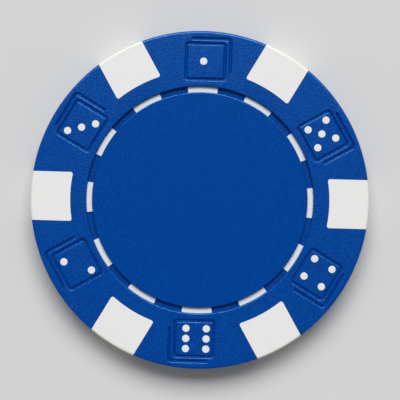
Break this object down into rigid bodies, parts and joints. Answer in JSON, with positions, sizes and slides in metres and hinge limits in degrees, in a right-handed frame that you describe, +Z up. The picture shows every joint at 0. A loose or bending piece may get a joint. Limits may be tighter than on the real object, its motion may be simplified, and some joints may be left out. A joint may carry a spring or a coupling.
{
  "type": "poker chip",
  "caption": "Round weighted poker chip in blue plastic with white edge spots, engraved dice faces with white pips and a dashed ring round a plain middle, over a steel slug.",
  "frame": {"origin": "middle of the lower face, on the surface that the chip lies on", "axes": "+Z up out of the upper face along the chip's axis; +Y from the middle through the dice face with one pip, +X through the edge spot a quarter turn clockwise from it, seen from above"},
  "size_m": [0.039, 0.039, 0.0033],
  "materials": {
    "blue_plastic": "moulded blue plastic with a fine matt grain",
    "white_plastic": "moulded white plastic with a fine matt grain",
    "inner_white_plastic": "plain moulded white plastic, inside",
    "steel": "stamped plain steel, inside"
  },
  "bodies": {
    "root": {"steel_slug": "steel", "upper_shell": "blue_plastic", "lower_shell": "blue_plastic", "upper_carrier": "inner_white_plastic", "lower_carrier": "inner_white_plastic", "upper_dashes": "white_plastic", "lower_dashes": "white_plastic", "edge_spot_1": "white_plastic", "edge_spot_2": "white_plastic", "edge_spot_3": "white_plastic", "edge_spot_4": "white_plastic", "edge_spot_5": "white_plastic", "edge_spot_6": "white_plastic", "upper_pips_1": "white_plastic", "upper_pips_2": "white_plastic", "upper_pips_3": "white_plastic", "upper_pips_4": "white_plastic", "upper_pips_5": "white_plastic", "upper_pips_6": "white_plastic", "lower_pips_1": "white_plastic", "lower_pips_2": "white_plastic", "lower_pips_3": "white_plastic", "lower_pips_4": "white_plastic", "lower_pips_5": "white_plastic", "lower_pips_6": "white_plastic"}
  },
  "joints": []
}
